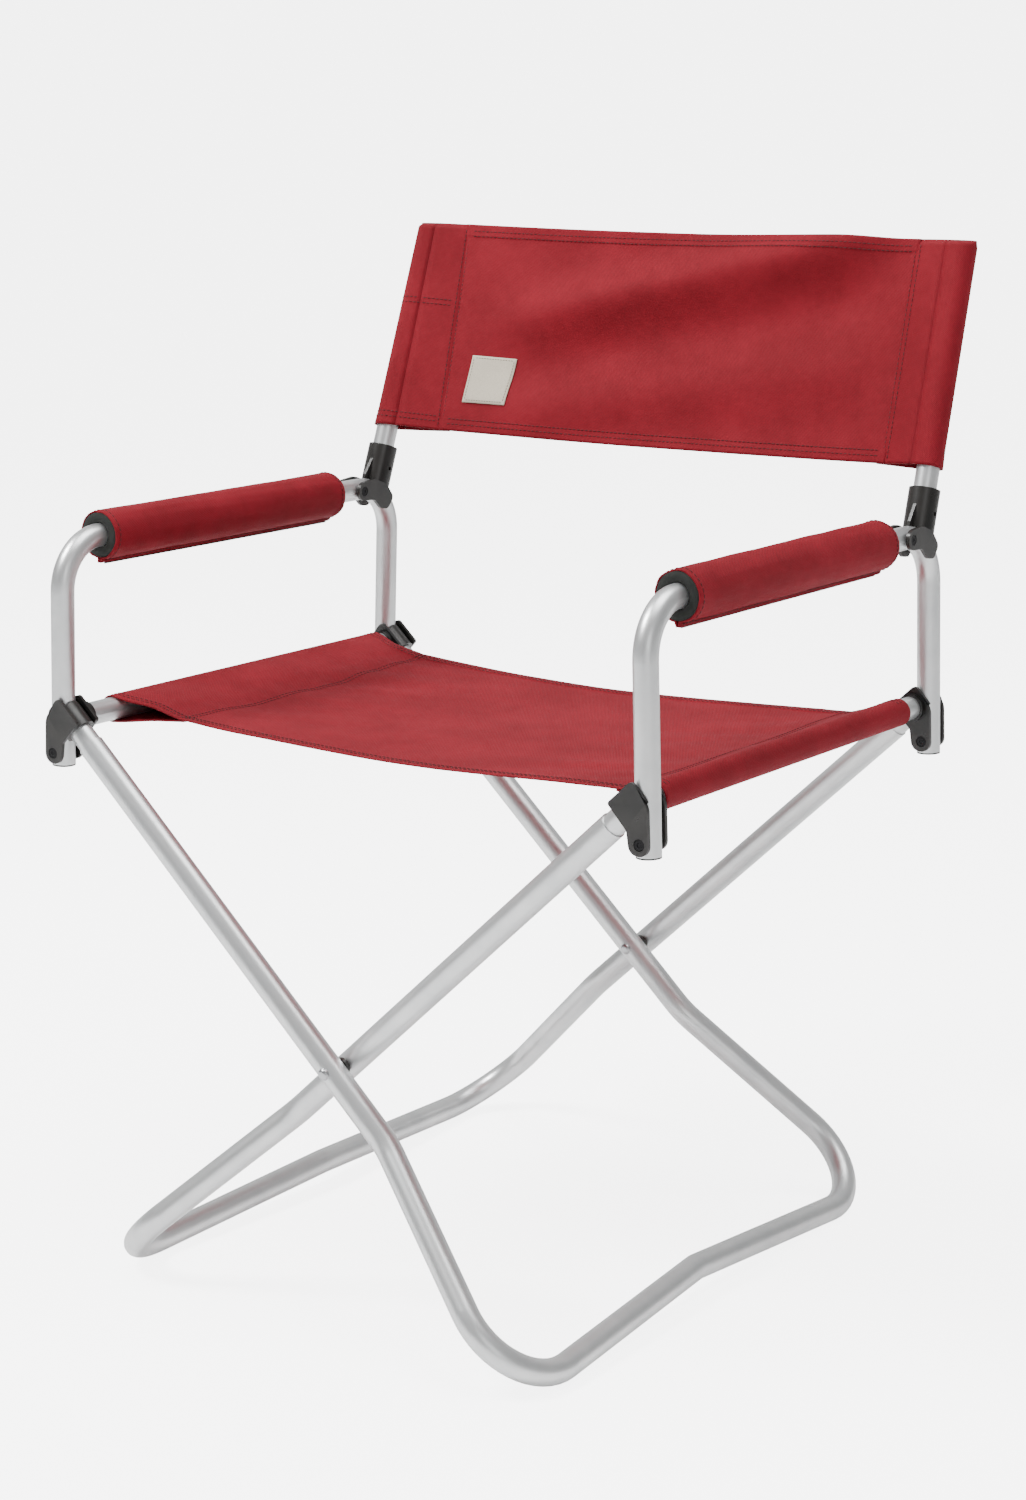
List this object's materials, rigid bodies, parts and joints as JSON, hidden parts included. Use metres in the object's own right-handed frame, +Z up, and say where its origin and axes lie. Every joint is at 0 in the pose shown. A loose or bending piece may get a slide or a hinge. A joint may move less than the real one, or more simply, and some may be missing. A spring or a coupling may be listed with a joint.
{
  "type": "folding director chair",
  "caption": "Folding director chair: crossed looped tube legs, fabric sling seat, padded armrests, folding sling back.",
  "frame": {"origin": "on the floor, in the middle of the open chair: midway between the two frames and between their front and rear legs", "axes": "+Z up, +Y towards the back of the chair, +X towards the right as seen from in front of it"},
  "size_m": [0.5642, 0.5583, 0.8113],
  "materials": {
    "anodised_tube": "satin anodised",
    "black_plastic": "satin moulded",
    "bright_steel": "bright",
    "dark_steel": "blackened",
    "black_foam": "matt closed-cell foam",
    "black_tape": "hook-and-loop tape",
    "woven_label": "woven label",
    "red_canvas": "twill canvas"
  },
  "bodies": {
    "leg_frame_a": {"arm_pin_front_left": "dark_steel", "arm_pin_rear_left": "dark_steel", "corner_bracket_front_left": "black_plastic", "corner_bracket_rear_left": "black_plastic", "crossing_rivet_front": "bright_steel", "crossing_rivet_rear": "bright_steel", "crossing_washer_front": "black_plastic", "crossing_washer_rear": "black_plastic", "leg_frame_a": "anodised_tube", "leg_neck_front_left": "anodised_tube", "leg_neck_rear_left": "anodised_tube", "seat_rail_left": "anodised_tube", "seat_sling": "red_canvas"},
    "leg_frame_b": {"arm_pin_front_right": "dark_steel", "arm_pin_rear_right": "dark_steel", "corner_bracket_front_right": "black_plastic", "corner_bracket_rear_right": "black_plastic", "leg_frame_b": "anodised_tube", "leg_neck_front_right": "anodised_tube", "leg_neck_rear_right": "anodised_tube", "seat_rail_right": "anodised_tube"},
    "arm_left": {"arm_cover_left": "red_canvas", "arm_cover_tape_left": "black_tape", "arm_foam_left": "black_foam", "arm_frame_left": "anodised_tube", "arm_plug_front_left": "black_plastic", "arm_plug_rear_left": "black_plastic", "hinge_bolt_left": "dark_steel"},
    "arm_right": {"arm_cover_right": "red_canvas", "arm_cover_tape_right": "black_tape", "arm_foam_right": "black_foam", "arm_frame_right": "anodised_tube", "arm_plug_front_right": "black_plastic", "arm_plug_rear_right": "black_plastic", "hinge_bolt_right": "dark_steel"},
    "back_left": {"back_hinge_left": "black_plastic", "back_label": "woven_label", "back_post_left": "anodised_tube", "back_sling": "red_canvas", "post_cap_left": "black_plastic", "socket_rivet_left": "bright_steel"},
    "back_right": {"back_hinge_right": "black_plastic", "back_post_right": "anodised_tube", "post_cap_right": "black_plastic", "socket_rivet_right": "bright_steel"}
  },
  "joints": [
    {"name": "scissor_fold", "type": "hinge", "parent": "leg_frame_a", "child": "leg_frame_b", "pos_m": [0, 0, 0.2014], "axis": [0, -1, 0], "range_deg": [0, 88], "deforming": ["seat_sling", "back_sling", "back_label"]},
    {"name": "arm_left_tilt", "type": "hinge", "parent": "leg_frame_a", "child": "arm_left", "pos_m": [-0.268, -0.21777, 0.415], "axis": [0, -1, 0], "range_deg": [0, 44]},
    {"name": "arm_right_tilt", "type": "hinge", "parent": "leg_frame_b", "child": "arm_right", "pos_m": [0.268, -0.19462, 0.415], "axis": [0, 1, 0], "range_deg": [0, 44]},
    {"name": "back_fold_left", "type": "hinge", "parent": "arm_left", "child": "back_left", "pos_m": [-0.26274, 0.14633, 0.58242], "axis": [0.9995, 0, -0.0314], "range_deg": [0, 95], "deforming": ["back_sling"]},
    {"name": "back_fold_right", "type": "hinge", "parent": "arm_right", "child": "back_right", "pos_m": [0.26274, 0.16947, 0.58242], "axis": [0.9995, 0, 0.0314], "range_deg": [0, 95]}
  ],
  "couplings": [
    {"joint": "arm_left_tilt", "follows": "scissor_fold", "ratio": 0.5},
    {"joint": "arm_right_tilt", "follows": "scissor_fold", "ratio": 0.5},
    {"joint": "back_fold_right", "follows": "back_fold_left", "ratio": 1}
  ]
}
